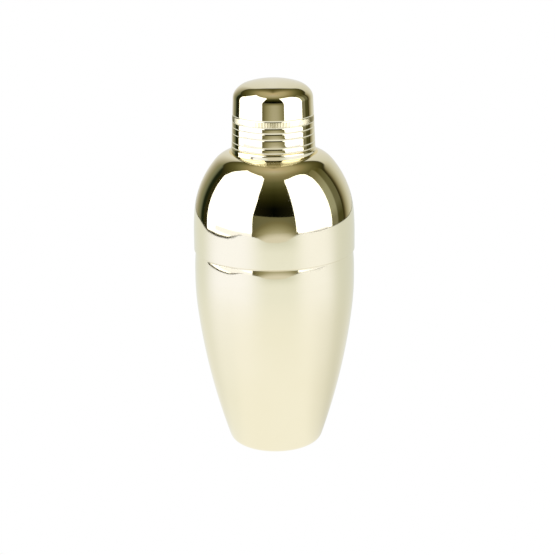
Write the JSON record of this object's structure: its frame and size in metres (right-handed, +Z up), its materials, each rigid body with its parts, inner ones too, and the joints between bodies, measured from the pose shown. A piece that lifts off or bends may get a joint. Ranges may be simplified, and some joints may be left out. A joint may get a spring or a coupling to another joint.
{
  "type": "cocktail shaker",
  "caption": "Pale gold cocktail shaker with a tapered cup, a domed slip-over strainer lid and a domed, ringed cap that lifts off the strainer's neck.",
  "frame": {"origin": "centre of the base, on the shaker's axis, in the plane that the cup stands on", "axes": "+Z up along the axis from the base to the cap; the shaker is round, so X and Y are any two directions square to it"},
  "size_m": [0.084, 0.084, 0.1965],
  "materials": {
    "pale_gold_plate": "mirror-polished pale gold plate on thin drawn sheet"
  },
  "bodies": {
    "cup": {"body_cup": "pale_gold_plate"},
    "lid": {"strainer_lid": "pale_gold_plate"},
    "cap": {"cap": "pale_gold_plate"}
  },
  "joints": [
    {"name": "lid_lift", "type": "slide", "parent": "cup", "child": "lid", "axis": [0, 0, 1], "range_m": [0, 0.06]},
    {"name": "cap_lift", "type": "slide", "parent": "lid", "child": "cap", "axis": [0, 0, 1], "range_m": [0, 0.05]}
  ]
}
